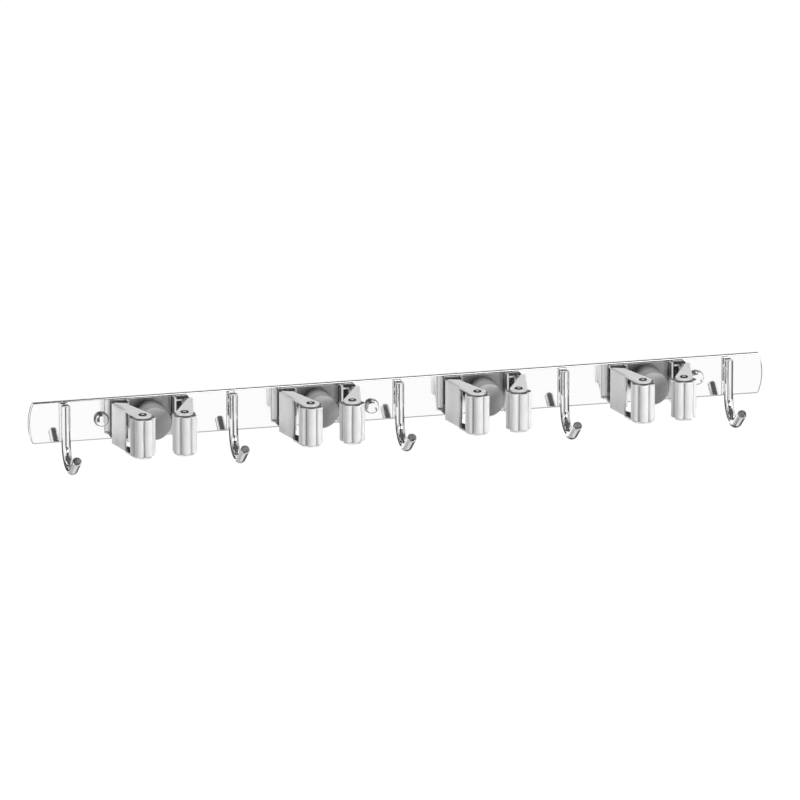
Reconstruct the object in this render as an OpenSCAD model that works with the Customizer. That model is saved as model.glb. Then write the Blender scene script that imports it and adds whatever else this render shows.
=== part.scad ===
// Wall rack for mops and brooms: a polished strip with round-rod hooks and
// spring clamps between them. Each clamp has a bracket, a rubber back-stop
// and two sprung arms that carry a free-turning ribbed roller each.
//
// Frame: origin at the centre of the strip's back face, +X to the right
// along the strip, +Y into the wall, +Z up. Lengths are in millimetres.
// "Out" distances are measured from the strip's front face away from the wall.

/* [Strip] */
// Overall length of the strip
strip_l = 490; // [486:1:520]
// Height of the strip
strip_h = 28; // [27:0.5:32]
// Sheet thickness of the strip
strip_t = 1.5; // [1:0.1:2]
// Radius of the bowed ends of the strip
end_r = 36; // [20:1:80]
// Spacing between neighbouring hooks
hook_pitch = 110.5; // [108:0.5:114]

/* [Hooks] */
// Rod diameter of a hook
rod_d = 6; // [5:0.5:7]
// Out distance of the shank's axis
shank_out = 3.6; // [3.55:0.05:4.5]
// Height of the shank's cut top above the strip's centre line
shank_top = 11.6; // [8:0.1:13]
// Height where the bend starts
bend_z = -13.2; // [-20:0.1:-8]
// Bend radius of the rod's axis
bend_r = 14; // [9:0.5:18]
// Angle turned by the bend
bend_a = 128; // [100:1:150]
// Straight length after the bend
tip_l = 13.2; // [4:0.2:16]

/* [Bracket] */
// Sheet thickness of the bracket and of the arms
sheet_t = 1.2; // [1:0.1:1.4]
// Half height of the upright walls at their front edge
wall_z = 14; // [13:0.1:14]
// Half height of the base, over the ears' outer faces
ear_z = 12.6; // [12:0.1:12.6]
// Outer half width of the two upright walls
wall_u = 16; // [14:0.1:17]
// Out depth of the upright walls
wall_out = 10.2; // [9:0.1:12]
// Half width of the ears
ear_w = 2.6; // [2.4:0.1:2.7]
// Distance of each pivot from the clamp's centre
pivot_u = 22.6; // [22:0.1:23.5]
// Out distance of the pivots
pivot_out = 10.5; // [9.5:0.1:11.5]
// Radius of the pivot pins
pivot_r = 1.5; // [1.2:0.05:1.6]
// Offset of the rivets from the clamp's centre
rivet_u = 12.9; // [12.8:0.05:13]
// Radius of the rivet shanks
rivet_r = 1.2; // [1:0.05:1.3]

/* [Arms] */
// Half height of an arm over its flanges
arm_z = 14.1; // [14.1:0.1:14.6]
// Distance of each roller axis from the clamp's centre
roll_u = 13.75; // [13:0.05:15]
// Out distance of the roller axes
roll_out = 43.9; // [42:0.1:46]
// Outer radius of the two rolled knuckles around the pivot
eye_r = 3; // [3:0.05:3.15]
// Inner radius of the web's rolled lip, which covers the spring
lip_r = 2.95; // [2.9:0.05:2.95]
// Thickness of the rolled lip
lip_t = 0.65; // [0.5:0.05:0.8]
// Height where a knuckle starts
knuckle_lo = 8.3; // [8.2:0.1:9]
// Height where a knuckle ends
knuckle_hi = 11.1; // [10.5:0.1:11.1]
// Gap along the web before the flanges start
flange_gap = 1.4; // [1:0.1:2]
// Radius of the nose around the roller axis
nose_r = 5.6; // [5:0.1:6.2]
// Distance of the web's outer face from the pivot axis
web_off = 4.4; // [4.3:0.1:4.8]
// Length of the web along the arm
web_l = 19.5; // [15:0.5:21]
// Running clearance of the arm on its pin
run_c = 0.05; // [0.02:0.01:0.09]

/* [Rollers] */
// Outer radius over the ribs
roll_r = 8.2; // [7.5:0.1:8.3]
// Radius of one rib
rib_r = 3.3; // [3.2:0.1:4]
// Number of ribs
ribs = 6; // [6:1:8]
// Half length of a roller
roll_z = 12.6; // [11:0.1:12.6]
// Radius of the hollow rivet that carries a roller
axle_r = 2; // [1.8:0.1:2.2]
// Radius of the rivet's heads
axle_head_r = 2.65; // [2.5:0.05:3]

/* [Back-stop] */
// Radius of the rubber back-stop
pad_r = 11; // [9:0.1:11.5]
// Out distance of its front face
pad_out = 20; // [16:0.5:22]
// Rounding of its front edge
pad_edge = 1.6; // [0.5:0.1:3]
// Radius of the plug that holds it
plug_r = 3; // [2:0.1:4]

/* [Springs] */
// Mean radius of the coil
coil_r = 2.3; // [2.25:0.05:2.4]
// Radius of the wire
wire_r = 0.4; // [0.3:0.05:0.4]
// Whole turns of the coil
coil_turns = 7; // [5:1:7]
// Rise per turn
coil_pitch = 2.1; // [1.5:0.1:2.1]
// Length of the leg that pushes the arm
leg_l = 15; // [8:0.5:17]

/* [Wall screws] */
// Radius of the screw shank
screw_r = 2; // [1.75:0.05:2.1]
// Play between the shank and its hole in strip and collar
screw_gap = 0.6; // [0.55:0.05:0.7]
// Length of the shank behind the strip
screw_l = 30; // [20:1:45]
// Radius of the screw's head
screw_head_r = 3.3; // [3:0.1:3.4]
// Radius of the collar under the cap
collar_r = 4.9; // [4.6:0.1:6]
// Thickness of the collar
collar_t = 0.8; // [0.6:0.1:1.2]
// Radius of the cap
cap_r = 4.3; // [4.2:0.1:4.6]
// Height of the cap
cap_h = 3.4; // [3.2:0.1:4.5]
// Place of the left screw
screw_left = -197; // [-203:1:-196]
// Place of the middle screw
screw_mid = -18; // [-20:1:-16]
// Drop of the middle screw below the strip's centre line
screw_drop = 4; // [0:0.5:6]
// Place of the right screw
screw_right = 200; // [196:1:203]

/* [Hidden] */
$fn = 64;

steel_c = [0.86, 0.87, 0.88];
chrome_c = [0.80, 0.81, 0.83];
satin_c = [0.78, 0.79, 0.80];
rubber_c = [0.88, 0.88, 0.88];
pad_c = [0.56, 0.56, 0.57];
dark_c = [0.35, 0.36, 0.38];

// Places of the screws in X and Z
screw_at = [[screw_left, 0], [screw_mid, -screw_drop], [screw_right, 0]];
// Centre of hook i (0 to 4) and of clamp k (1 to 4) along the strip
function hook_x(i) = (i - 2) * hook_pitch;
function clamp_x(k) = (k - 2.5) * hook_pitch;
// Direction of a roller's first rib in plan, left and right, for each clamp
roll_turn = [[294, 265], [261, 286], [261, 286], [261, 286]];

// Plan point from a sideways distance u and an out distance d
function pt(u, d) = [u, -(strip_t + d)];
// The same in space, at height z
function at(u, d, z) = [u, -(strip_t + d), z];
// Plane vector turned by an angle
function turn(v, a) = [v[0] * cos(a) - v[1] * sin(a), v[0] * sin(a) + v[1] * cos(a)];

// Layout of a right-hand arm in (u, out) coordinates
flange_t = sheet_t;
arm_in_z = arm_z - flange_t;
pivot_p = [pivot_u, pivot_out];
roll_p = [roll_u, roll_out];
arm_len = norm(roll_p - pivot_p);
arm_dir = (roll_p - pivot_p) / arm_len;
arm_side = [arm_dir[1], -arm_dir[0]];
lean = asin((web_off - nose_r) / arm_len);
web_n = cos(lean) * arm_side + sin(lean) * arm_dir;
web_d = [-web_n[1], web_n[0]];
web_foot = pivot_p + web_off * web_n;
nose_outer = roll_p + nose_r * web_n;
web_start = web_foot + flange_gap * web_d;
// Rear inner corner of the wide and of the narrow flange
wide_p = [pivot_u - 4, pivot_out + 4.7];
slim_p = [pivot_u + 1, pivot_out + 2.1];
// Point where a line from p runs onto the nose
function nose_from(p) = let (l = norm(roll_p - p))
    p + sqrt(l * l - nose_r * nose_r) * turn((roll_p - p) / l, asin(nose_r / l));

// Strip outline in X and Z: straight sides and bowed ends
module strip_outline() {
    mid = strip_l / 2 - end_r;
    square([2 * mid, strip_h], center = true);
    intersection() {
        square([strip_l, strip_h], center = true);
        union() {
            translate([mid, 0]) circle(end_r, $fn = 128);
            translate([-mid, 0]) circle(end_r, $fn = 128);
        }
    }
}

// Round hole along Y through the strip and what lies on it
module y_hole(x, r, z = 0) {
    translate([x, 1, z]) rotate([90, 0, 0]) cylinder(r = r, h = strip_t + sheet_t + 4);
}

module base_plate() {
    color(steel_c) difference() {
        rotate([90, 0, 0]) linear_extrude(strip_t) strip_outline();
        for (p = screw_at) y_hole(p[0], screw_r + screw_gap, p[1]);
        for (k = [1:4]) {
            y_hole(clamp_x(k) - rivet_u, rivet_r);
            y_hole(clamp_x(k) + rivet_u, rivet_r);
            y_hole(clamp_x(k), plug_r);
        }
    }
}

// J-shaped rod with two flattened weld pads that sit on the strip
module hook(i) {
    r = rod_d / 2;
    y0 = -(strip_t + shank_out);
    color(chrome_c) translate([hook_x(i), 0, 0]) {
        translate([0, y0, bend_z]) cylinder(r = r, h = shank_top - bend_z);
        translate([0, y0 - bend_r, bend_z]) {
            rotate([0, 90, 0]) rotate([0, 0, 90])
                rotate_extrude(angle = -bend_a) translate([bend_r, 0]) circle(r);
            rotate([-bend_a, 0, 0]) translate([0, bend_r, -tip_l])
                cylinder(r = r + 0.03, h = tip_l + 0.4);
        }
        for (z = [-7, 6]) translate([0, -strip_t, z]) rotate([90, 0, 0]) cylinder(r = 2, h = shank_out - 1.2);
    }
}

module wall_screws() {
    color(dark_c) for (p = screw_at) translate([p[0], -strip_t, p[1]]) {
        translate([0, -collar_t, 0]) rotate([90, 0, 0]) cylinder(r = screw_head_r, h = 2);
        translate([0, -collar_t, 0]) rotate([-90, 0, 0])
            cylinder(r = screw_r, h = collar_t + strip_t + screw_l - 4);
        translate([0, strip_t + screw_l - 4, 0]) rotate([-90, 0, 0])
            cylinder(r1 = screw_r, r2 = 0.3, h = 4);
    }
}

module screw_collars() {
    color(chrome_c) for (p = screw_at) translate([p[0], -strip_t, p[1]]) rotate([90, 0, 0])
        difference() {
            cylinder(r = collar_r, h = collar_t);
            translate([0, 0, -1]) cylinder(r = screw_r + screw_gap, h = collar_t + 2);
        }
}

// Domed caps that hide the screw heads
module screw_caps() {
    color(chrome_c) for (p = screw_at) translate([p[0], -(strip_t + collar_t), p[1]]) rotate([90, 0, 0])
        difference() {
            intersection() {
                cylinder(r = cap_r, h = cap_h + 1);
                translate([0, 0, cap_h - 18]) sphere(r = 18);
            }
            translate([0, 0, -1]) cylinder(r = screw_head_r + 0.1, h = 3.1);
        }
}

module bracket_rivets() {
    color(chrome_c) for (k = [1:4], s = [-1, 1])
        translate([clamp_x(k) + s * rivet_u, 0, 0]) rotate([90, 0, 0]) {
            cylinder(r = rivet_r, h = strip_t + sheet_t);
            translate([0, 0, strip_t + sheet_t]) cylinder(r = 1.7, h = 0.7);
        }
}

// Ear of the bracket in plan, from the upright wall out to the pivot
module ear_outline(s) {
    inner = wall_u - sheet_t / 2;
    difference() {
        union() {
            translate(pt(s > 0 ? inner : -(pivot_u + ear_w), pivot_out))
                square([pivot_u + ear_w - inner, pivot_out]);
            translate(pt(s * pivot_u, pivot_out)) circle(ear_w);
        }
        translate(pt(s * pivot_u, pivot_out)) circle(pivot_r);
    }
}

// Upright wall of the bracket from the side: it flares towards its front edge
module wall_outline() {
    polygon([[0, -ear_z], [wall_out, -wall_z], [wall_out, wall_z], [0, ear_z]]);
}

module bracket(k) {
    bw = pivot_u + ear_w;
    color(steel_c) translate([clamp_x(k), 0, 0]) difference() {
        union() {
            translate(at(-bw, sheet_t, -ear_z)) cube([2 * bw, sheet_t, 2 * ear_z]);
            for (s = [-1, 1]) {
                translate(at(s * (wall_u - sheet_t / 2) + sheet_t / 2, 0, 0))
                    rotate([90, 0, -90]) linear_extrude(sheet_t) wall_outline();
                for (z = [-ear_z, ear_z - sheet_t]) translate([0, 0, z])
                    linear_extrude(sheet_t) ear_outline(s);
            }
        }
        for (s = [-1, 1]) y_hole(s * rivet_u, rivet_r);
        y_hole(0, plug_r);
    }
}

// Rubber drum with a rounded front edge and a plug through bracket and strip
module pad(k) {
    h = pad_out - sheet_t;
    color(pad_c) translate([clamp_x(k), -(strip_t + sheet_t), 0]) {
        rotate([90, 0, 0]) rotate_extrude() {
            square([pad_r - pad_edge, h]);
            square([pad_r, h - pad_edge]);
            translate([pad_r - pad_edge, h - pad_edge]) circle(pad_edge);
        }
        rotate([-90, 0, 0]) cylinder(r = plug_r, h = strip_t + sheet_t);
    }
}

module pivot_pins(k) {
    color(dark_c) for (s = [-1, 1])
        translate([clamp_x(k) + s * pivot_u, -(strip_t + pivot_out), -ear_z - 0.1])
            cylinder(r = pivot_r, h = 2 * ear_z + 0.2);
}

// Places a right-hand piece of clamp k, or its mirror image on the left
module side(k, s) {
    translate([clamp_x(k), 0, 0]) mirror([s < 0 ? 1 : 0, 0, 0]) children();
}

// Flange of an arm in plan: straight back edge and round nose
module arm_outline(neck_p) {
    nose_inner = nose_from(neck_p);
    difference() {
        union() {
            translate(pt(roll_u, roll_out)) circle(nose_r);
            polygon([pt(neck_p[0], neck_p[1]), pt(nose_inner[0], nose_inner[1]),
                pt(roll_u, roll_out), pt(nose_outer[0], nose_outer[1]),
                pt(web_start[0], web_start[1])]);
        }
        translate(pt(roll_u, roll_out)) circle(axle_r);
    }
}

// Rolled knuckle in plan, with the bent tab that joins it to the web
module knuckle_outline() {
    a = web_foot;
    b = web_foot + sheet_t * web_d;
    c = b - (web_off - 2) * web_n;
    d = a - (web_off - 2) * web_n;
    difference() {
        union() {
            translate(pt(pivot_u, pivot_out)) circle(eye_r);
            polygon([pt(a[0], a[1]), pt(b[0], b[1]), pt(c[0], c[1]), pt(d[0], d[1])]);
        }
        translate(pt(pivot_u, pivot_out)) circle(pivot_r + run_c);
    }
}

// Lip of the web in plan, rolled round the outer rear side of the spring
module lip_outline() {
    from = atan2(web_n[1], web_n[0]) + 12;
    to = -70;
    translate(pt(pivot_u, pivot_out)) difference() {
        intersection() {
            circle(lip_r + lip_t);
            polygon(concat([[0, 0]], [for (i = [0:4]) let (a = from + (to - from) * i / 4) 6 * [cos(a), -sin(a)]]));
        }
        circle(lip_r);
    }
}

// Outer wall of an arm in plan
module web_outline() {
    a = web_foot;
    b = web_foot + web_l * web_d;
    c = b - sheet_t * web_n;
    d = a - sheet_t * web_n;
    polygon([pt(a[0], a[1]), pt(b[0], b[1]), pt(c[0], c[1]), pt(d[0], d[1])]);
}

// Both arms of a clamp are the same stamping, turned over for the other side
module arm(k, s) {
    color(satin_c) side(k, s) {
        translate([0, 0, arm_in_z]) linear_extrude(flange_t) arm_outline(s < 0 ? wide_p : slim_p);
        translate([0, 0, -arm_z]) linear_extrude(flange_t) arm_outline(s < 0 ? slim_p : wide_p);
        translate([0, 0, -arm_in_z - flange_t / 2]) linear_extrude(2 * arm_in_z + flange_t) web_outline();
        for (z = [knuckle_lo, -knuckle_hi]) translate([0, 0, z])
            linear_extrude(knuckle_hi - knuckle_lo) knuckle_outline();
        translate([0, 0, -knuckle_hi]) linear_extrude(2 * knuckle_hi) lip_outline();
    }
}

// Hollow rivet through both flanges
module roller_pin(k, s) {
    color(chrome_c) side(k, s) translate([roll_u, -(strip_t + roll_out), 0]) difference() {
        union() {
            cylinder(r = axle_r, h = 2 * arm_z, center = true);
            translate([0, 0, arm_z]) cylinder(r = axle_head_r, h = 0.7);
            translate([0, 0, -arm_z - 0.7]) cylinder(r = axle_head_r, h = 0.7);
        }
        translate([0, 0, arm_z - 0.8]) cylinder(r = 1.3, h = 3);
        translate([0, 0, -arm_z - 2.2]) cylinder(r = 1.3, h = 3);
    }
}

// Ribbed rubber roller that turns on the hollow rivet
module roller(k, s) {
    rib_at = roll_r - rib_r;
    first = roll_turn[k - 1][s < 0 ? 0 : 1];
    color(rubber_c) translate([clamp_x(k) + s * roll_u, -(strip_t + roll_out), -roll_z])
        linear_extrude(2 * roll_z) difference() {
            union() {
                circle(rib_at + 0.8);
                for (i = [0:ribs - 1]) rotate(first + i * 360 / ribs)
                    translate([rib_at, 0]) circle(rib_r);
            }
            circle(axle_r + run_c);
        }
}

// Wire path of a torsion spring around its pivot. Each entry is a point of
// the wire's axis and the sideways direction of the wire there.
coil_end = -asin(web_n[1]);
coil_sweep = 90 - coil_end + 360 * coil_turns;
coil_steps = 10 * coil_turns + 3;
function coil_n(a) = [cos(a), sin(a), 0];
function coil_z(i) = coil_pitch * coil_sweep / 360 * (0.5 - i / coil_steps);
function coil_row(i) = let (a = 90 - coil_sweep * i / coil_steps)
    [coil_r * coil_n(a) + [0, 0, coil_z(i)], coil_n(a)];
first_leg = pivot_u - wall_u - 0.1;
spring_rows = concat(
    [[[-first_leg, coil_r, coil_z(0)], [0, 1, 0]]],
    [for (i = [0:coil_steps]) coil_row(i)],
    [[coil_r * coil_n(coil_end) + [0, 0, coil_z(coil_steps)]
        + leg_l * [sin(coil_end), -cos(coil_end), 0], coil_n(coil_end)]]);
wire_sides = 6;

module spring(k, s) {
    n = len(spring_rows);
    m = wire_sides;
    points = [for (row = spring_rows, j = [0:m - 1])
        row[0] + wire_r * (cos(360 * j / m) * row[1] + [0, 0, sin(360 * j / m)])];
    sides = [for (i = [0:n - 2], j = [0:m - 1], h = [0, 1]) let (j2 = (j + 1) % m)
        h == 0 ? [i * m + j, (i + 1) * m + j, (i + 1) * m + j2]
               : [i * m + j, (i + 1) * m + j2, i * m + j2]];
    caps = concat(
        [for (j = [1:m - 2]) [0, j, j + 1]],
        [for (j = [1:m - 2]) [(n - 1) * m, (n - 1) * m + j + 1, (n - 1) * m + j]]);
    color(dark_c) side(k, s) translate([pivot_u, -(strip_t + pivot_out), 0])
        polyhedron(points = points, faces = concat(sides, caps));
}

base_plate();
hook(0);  // hook_1
hook(1);  // hook_2
hook(2);  // hook_3
hook(3);  // hook_4
hook(4);  // hook_5
wall_screws();
screw_collars();
screw_caps();
bracket_rivets();
bracket(1);  // clamp_1_bracket
pad(1);  // clamp_1_pad
pivot_pins(1);  // clamp_1_pivot_pins
arm(1, -1);  // clamp_1_left_arm
roller_pin(1, -1);  // clamp_1_left_roller_pin
roller(1, -1);  // clamp_1_left_roller
spring(1, -1);  // clamp_1_left_spring
arm(1, 1);  // clamp_1_right_arm
roller_pin(1, 1);  // clamp_1_right_roller_pin
roller(1, 1);  // clamp_1_right_roller
spring(1, 1);  // clamp_1_right_spring
bracket(2);  // clamp_2_bracket
pad(2);  // clamp_2_pad
pivot_pins(2);  // clamp_2_pivot_pins
arm(2, -1);  // clamp_2_left_arm
roller_pin(2, -1);  // clamp_2_left_roller_pin
roller(2, -1);  // clamp_2_left_roller
spring(2, -1);  // clamp_2_left_spring
arm(2, 1);  // clamp_2_right_arm
roller_pin(2, 1);  // clamp_2_right_roller_pin
roller(2, 1);  // clamp_2_right_roller
spring(2, 1);  // clamp_2_right_spring
bracket(3);  // clamp_3_bracket
pad(3);  // clamp_3_pad
pivot_pins(3);  // clamp_3_pivot_pins
arm(3, -1);  // clamp_3_left_arm
roller_pin(3, -1);  // clamp_3_left_roller_pin
roller(3, -1);  // clamp_3_left_roller
spring(3, -1);  // clamp_3_left_spring
arm(3, 1);  // clamp_3_right_arm
roller_pin(3, 1);  // clamp_3_right_roller_pin
roller(3, 1);  // clamp_3_right_roller
spring(3, 1);  // clamp_3_right_spring
bracket(4);  // clamp_4_bracket
pad(4);  // clamp_4_pad
pivot_pins(4);  // clamp_4_pivot_pins
arm(4, -1);  // clamp_4_left_arm
roller_pin(4, -1);  // clamp_4_left_roller_pin
roller(4, -1);  // clamp_4_left_roller
spring(4, -1);  // clamp_4_left_spring
arm(4, 1);  // clamp_4_right_arm
roller_pin(4, 1);  // clamp_4_right_roller_pin
roller(4, 1);  // clamp_4_right_roller
spring(4, 1);  // clamp_4_right_spring
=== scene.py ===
import bpy
import bmesh
import math
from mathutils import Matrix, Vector


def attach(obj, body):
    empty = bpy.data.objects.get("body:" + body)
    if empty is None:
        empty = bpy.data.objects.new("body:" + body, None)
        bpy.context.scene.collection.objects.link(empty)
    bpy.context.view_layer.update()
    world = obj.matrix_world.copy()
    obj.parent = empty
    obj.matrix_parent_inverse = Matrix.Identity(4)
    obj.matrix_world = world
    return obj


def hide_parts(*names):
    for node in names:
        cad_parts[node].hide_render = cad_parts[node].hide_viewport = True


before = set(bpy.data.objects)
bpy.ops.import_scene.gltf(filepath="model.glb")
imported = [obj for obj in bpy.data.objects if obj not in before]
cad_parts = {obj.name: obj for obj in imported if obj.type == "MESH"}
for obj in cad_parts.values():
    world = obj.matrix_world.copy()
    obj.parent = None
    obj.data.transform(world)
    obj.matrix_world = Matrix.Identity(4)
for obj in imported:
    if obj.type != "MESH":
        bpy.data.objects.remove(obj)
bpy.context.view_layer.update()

# ---------------------------------------------------------------- dimensions
# Millimetres, in the frame of the CAD model: +X along the strip, +Y into the
# wall, +Z up. "Out" distances are from the strip's front face.
MM = 0.001
T = 1.5
PITCH = 110.5
SHEET = 1.2
PIVOT = Vector((22.6, 10.5))
ROLL = Vector((13.75, 43.9))
EYE_R, NOSE_R, WEB_OFF, WEB_L, WEB_GAP = 3.0, 5.6, 4.4, 19.5, 1.4
LIP_R, LIP_T = 2.95, 0.65
KNUCKLE = (8.3, 11.1)
WIDE, SLIM = PIVOT + Vector((-4.0, 4.7)), PIVOT + Vector((1.0, 2.1))
WALL_Z, EAR_Z, WALL_OUT = 14.0, 12.6, 10.2
ARM_Z = 14.1
PIN_R, AXLE_R = 1.5, 2.0
SCREWS = ((-197.0, 0.0), (-18.0, -4.0), (200.0, 0.0))
COLLAR_T, COLLAR_R, CAP_R, CAP_H = 0.8, 4.9, 4.3, 3.4


def clamp_x(k):
    return (k - 2.5) * PITCH


def hook_x(i):
    return (i - 3) * PITCH


# ------------------------------------------------------------------ mesh kit
def link(ob):
    bpy.context.scene.collection.objects.link(ob)
    return ob


def mesh(name, verts, faces, smooth=True):
    me = bpy.data.meshes.new(name)
    me.from_pydata([(x * MM, y * MM, z * MM) for x, y, z in verts], [], faces)
    bm = bmesh.new()
    bm.from_mesh(me)
    bmesh.ops.remove_doubles(bm, verts=bm.verts, dist=2e-7)
    bmesh.ops.recalc_face_normals(bm, faces=bm.faces)
    bm.to_mesh(me)
    bm.free()
    me.polygons.foreach_set("use_smooth", [smooth] * len(me.polygons))
    return me


def thing(name, verts, faces, smooth=True):
    return link(bpy.data.objects.new(name, mesh(name, verts, faces, smooth)))


def join(parts):
    verts, faces = [], []
    for v, f in parts:
        n = len(verts)
        verts += v
        faces += [tuple(i + n for i in q) for q in f]
    return verts, faces


def moved(part, fn):
    v, f = part
    return [fn(*p) for p in v], f


def bake(ob):
    dg = bpy.context.evaluated_depsgraph_get()
    me = bpy.data.meshes.new_from_object(ob.evaluated_get(dg))
    old = ob.data
    ob.modifiers.clear()
    ob.data = me
    bpy.data.meshes.remove(old)


def combine(base, adds, cuts, split=False):
    """Joins and cuts whole solids, then merges the flat faces that were split, if that keeps them closed."""
    for op, others in (("UNION", adds), ("DIFFERENCE", cuts)):
        for o in others:
            if split:
                base.modifiers.new("split", "TRIANGULATE")
            m = base.modifiers.new("cut", "BOOLEAN")
            m.operation, m.solver, m.object = op, "EXACT", o
    bake(base)
    for o in adds + cuts:
        me = o.data
        bpy.data.objects.remove(o)
        bpy.data.meshes.remove(me)
    bm = bmesh.new()
    bm.from_mesh(base.data)
    bmesh.ops.remove_doubles(bm, verts=bm.verts, dist=5e-7)
    tidy = bm.copy()
    bmesh.ops.dissolve_limit(tidy, angle_limit=math.radians(0.5), verts=tidy.verts, edges=tidy.edges)
    if all(e.is_manifold for e in tidy.edges):
        bm, tidy = tidy, bm
    tidy.free()
    bmesh.ops.recalc_face_normals(bm, faces=bm.faces)
    bm.to_mesh(base.data)
    bm.free()
    base.data.polygons.foreach_set("use_smooth", [True] * len(base.data.polygons))


def edge_round(ob, width, segments=3, angle=35):
    b = ob.modifiers.new("edges", "BEVEL")
    b.width, b.segments = width * MM, segments
    b.limit_method, b.angle_limit = "ANGLE", math.radians(angle)
    b.use_clamp_overlap = True
    b.miter_outer = "MITER_ARC"
    bake(ob)
    # close the slits that rounding leaves where a hole's wall starts
    bm = bmesh.new()
    bm.from_mesh(ob.data)
    gaps = [e for e in bm.edges if e.is_boundary]
    if gaps:
        bmesh.ops.holes_fill(bm, edges=gaps, sides=0)
        bmesh.ops.recalc_face_normals(bm, faces=bm.faces)
        bm.to_mesh(ob.data)
    # drop faces without area, if the piece stays closed
    bmesh.ops.remove_doubles(bm, verts=bm.verts, dist=0.001 * MM)
    bmesh.ops.dissolve_degenerate(bm, dist=0.001 * MM, edges=bm.edges)
    if all(len(e.link_faces) == 2 for e in bm.edges):
        bm.to_mesh(ob.data)
    bm.free()
    ob.data.polygons.foreach_set("use_smooth", [True] * len(ob.data.polygons))


def even_normals(ob, sharp=40):
    ob.data.set_sharp_from_angle(angle=math.radians(sharp))
    w = ob.modifiers.new("normals", "WEIGHTED_NORMAL")
    w.mode, w.weight, w.keep_sharp = "FACE_AREA", 80, True


def arc(cx, cy, r, a0, a1, n):
    return [(cx + r * math.cos(math.radians(a0 + (a1 - a0) * i / n)),
             cy + r * math.sin(math.radians(a0 + (a1 - a0) * i / n))) for i in range(n + 1)]


def rounded(points, radii, n=6):
    """A polygon with some of its corners turned into arcs."""
    out = []
    pts = [Vector(p) for p in points]
    for i, (p, r) in enumerate(zip(pts, radii)):
        if r <= 0:
            out.append(tuple(p))
            continue
        a = (pts[i - 1] - p).normalized()
        b = (pts[(i + 1) % len(pts)] - p).normalized()
        half = a.angle(b) / 2
        t1 = p + a * (r / math.tan(half))
        t2 = p + b * (r / math.tan(half))
        c = p + (a + b).normalized() * (r / math.sin(half))
        s, e = math.atan2(*reversed(t1 - c)), math.atan2(*reversed(t2 - c))
        d = (e - s + math.pi) % (2 * math.pi) - math.pi
        out += [(c.x + r * math.cos(s + d * j / n), c.y + r * math.sin(s + d * j / n)) for j in range(n + 1)]
    return out


def prism(loop, h0, h1, fn):
    n = len(loop)
    verts = [fn(a, b, h0) for a, b in loop] + [fn(a, b, h1) for a, b in loop]
    faces = [tuple(range(n - 1, -1, -1)), tuple(range(n, 2 * n))]
    faces += [(i, (i + 1) % n, n + (i + 1) % n, n + i) for i in range(n)]
    return verts, faces


def lathe(profile, seg=64, closed=False):
    """Turns (radius, height) points about Z."""
    verts, faces, rows = [], [], []
    for r, h in profile:
        if r < 1e-6:
            rows.append([len(verts)])
            verts.append((0.0, 0.0, h))
        else:
            rows.append(list(range(len(verts), len(verts) + seg)))
            verts += [(r * math.cos(2 * math.pi * i / seg), r * math.sin(2 * math.pi * i / seg), h) for i in range(seg)]
    pairs = list(zip(rows, rows[1:])) + ([(rows[-1], rows[0])] if closed else [])
    for a, b in pairs:
        for i in range(seg):
            j = (i + 1) % seg
            if len(a) == 1 and len(b) > 1:
                faces.append((a[0], b[j], b[i]))
            elif len(b) == 1 and len(a) > 1:
                faces.append((a[i], a[j], b[0]))
            elif len(a) > 1:
                faces.append((a[i], a[j], b[j], b[i]))
    return verts, faces


def tube(path, side, radii, seg=24):
    """A round bar through the path's points. side is a direction that is square to the path at its start."""
    pts = [Vector(p) for p in path]
    n = len(pts)
    tan = []
    for i in range(n):
        a, b = max(i - 1, 0), min(i + 1, n - 1)
        while (pts[b] - pts[a]).length < 1e-9 and (a > 0 or b < n - 1):
            a, b = max(a - 1, 0), min(b + 1, n - 1)
        tan.append((pts[b] - pts[a]).normalized())
    u = Vector(side).normalized()
    verts, faces = [], []
    for i in range(n):
        u = (u - tan[i] * u.dot(tan[i])).normalized()
        w = tan[i].cross(u)
        for j in range(seg):
            q = 2 * math.pi * j / seg
            verts.append(tuple(pts[i] + radii[i] * (math.cos(q) * u + math.sin(q) * w)))
    for i in range(n - 1):
        for j in range(seg):
            k = (j + 1) % seg
            faces.append((i * seg + j, i * seg + k, (i + 1) * seg + k, (i + 1) * seg + j))
    for row, c in ((0, pts[0]), (n - 1, pts[-1])):
        verts.append(tuple(c))
        for j in range(seg):
            faces.append((row * seg + j, row * seg + (j + 1) % seg, len(verts) - 1))
    return verts, faces


def out_y(x, y, z):
    """From a part turned about Z to one that points out of the strip's front face."""
    return x, -(T + z), y


# ----------------------------------------------------------------- materials
def shader(name):
    m = bpy.data.materials.new(name)
    m.use_nodes = True
    nt = m.node_tree
    return m, nt, nt.nodes["Principled BSDF"]


def noise(nt, scale, stretch=(1, 1, 1), detail=3.0, rough=0.55):
    tc = nt.nodes.new("ShaderNodeTexCoord")
    mp = nt.nodes.new("ShaderNodeMapping")
    mp.inputs["Scale"].default_value = stretch
    nz = nt.nodes.new("ShaderNodeTexNoise")
    nz.inputs["Scale"].default_value = scale
    nz.inputs["Detail"].default_value = detail
    nz.inputs["Roughness"].default_value = rough
    nt.links.new(tc.outputs["Object"], mp.inputs["Vector"])
    nt.links.new(mp.outputs["Vector"], nz.inputs["Vector"])
    return nz.outputs["Fac"]


def ramp(nt, fac, lo, hi, p0=0.3, p1=0.7):
    r = nt.nodes.new("ShaderNodeValToRGB")
    r.color_ramp.elements[0].position, r.color_ramp.elements[0].color = p0, (*lo, 1)
    r.color_ramp.elements[1].position, r.color_ramp.elements[1].color = p1, (*hi, 1)
    nt.links.new(fac, r.inputs["Fac"])
    return r.outputs["Color"]


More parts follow.
